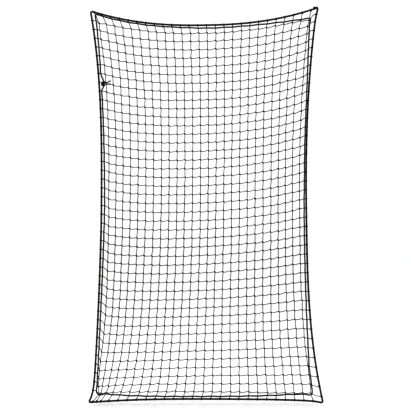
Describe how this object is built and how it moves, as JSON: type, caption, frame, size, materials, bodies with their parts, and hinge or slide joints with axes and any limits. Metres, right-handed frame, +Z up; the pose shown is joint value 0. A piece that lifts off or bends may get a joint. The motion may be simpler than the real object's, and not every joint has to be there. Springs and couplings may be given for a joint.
{
  "type": "pitching target net",
  "caption": "Replacement net panel for a pitching target frame: knotted square mesh with a sewn-on border rope, corner loops and a threaded draw cord.",
  "frame": {"origin": "middle of the panel's bounding box, so it hangs about its own centre", "axes": "+X along the panel's width to the viewer's right, +Y through the net away from the pitcher, +Z up its height"},
  "size_m": [1.2792, 0.0607, 2.1587],
  "materials": {
    "twine": "twisted black nylon twine with a dull coating",
    "lashing": "black nylon lashing twine, tightly laid",
    "rope": "three-strand black rope, slightly hairy",
    "cord": "braided black cord with a soft sheen"
  },
  "bodies": {
    "net": {"vertical_twine_01": "twine", "vertical_twine_02": "twine", "vertical_twine_03": "twine", "vertical_twine_04": "twine", "vertical_twine_05": "twine", "vertical_twine_06": "twine", "vertical_twine_07": "twine", "vertical_twine_08": "twine", "vertical_twine_09": "twine", "vertical_twine_10": "twine", "vertical_twine_11": "twine", "vertical_twine_12": "twine", "vertical_twine_13": "twine", "vertical_twine_14": "twine", "vertical_twine_15": "twine", "vertical_twine_16": "twine", "vertical_twine_17": "twine", "vertical_twine_18": "twine", "vertical_twine_19": "twine", "vertical_twine_20": "twine", "vertical_twine_21": "twine", "vertical_twine_22": "twine", "vertical_twine_23": "twine", "vertical_twine_24": "twine", "vertical_twine_25": "twine", "vertical_twine_26": "twine", "horizontal_twines_01": "twine", "horizontal_twines_02": "twine", "horizontal_twines_03": "twine", "horizontal_twines_04": "twine", "horizontal_twines_05": "twine", "horizontal_twines_06": "twine", "horizontal_twines_07": "twine", "horizontal_twines_08": "twine", "horizontal_twines_09": "twine", "horizontal_twines_10": "twine", "horizontal_twines_11": "twine", "border_rope_top": "rope", "border_rope_bottom": "rope", "border_rope_left": "rope", "border_rope_right": "rope", "corner_bight_top_left": "rope", "corner_bight_top_right": "rope", "corner_bight_bottom_left": "rope", "corner_bight_bottom_right": "rope", "hitches_top": "lashing", "hitches_bottom": "lashing", "hitches_left": "lashing", "hitches_right": "lashing", "rope_end": "rope", "draw_cord": "cord", "cord_knot": "cord"},
    "tail_upper": {"tail_upper": "cord"},
    "tail_lower": {"tail_lower": "cord"}
  },
  "joints": [
    {"name": "tail_upper_swing", "type": "hinge", "parent": "net", "child": "tail_upper", "pos_m": [-0.54201, -0.01168, 0.66482], "axis": [0, -1, 0], "range_deg": [-8, 50], "stiffness_Nm_per_rad": 0.01},
    {"name": "tail_lower_swing", "type": "hinge", "parent": "net", "child": "tail_lower", "pos_m": [-0.54201, -0.01168, 0.65682], "axis": [0, -1, 0], "range_deg": [-55, 6], "stiffness_Nm_per_rad": 0.01}
  ]
}
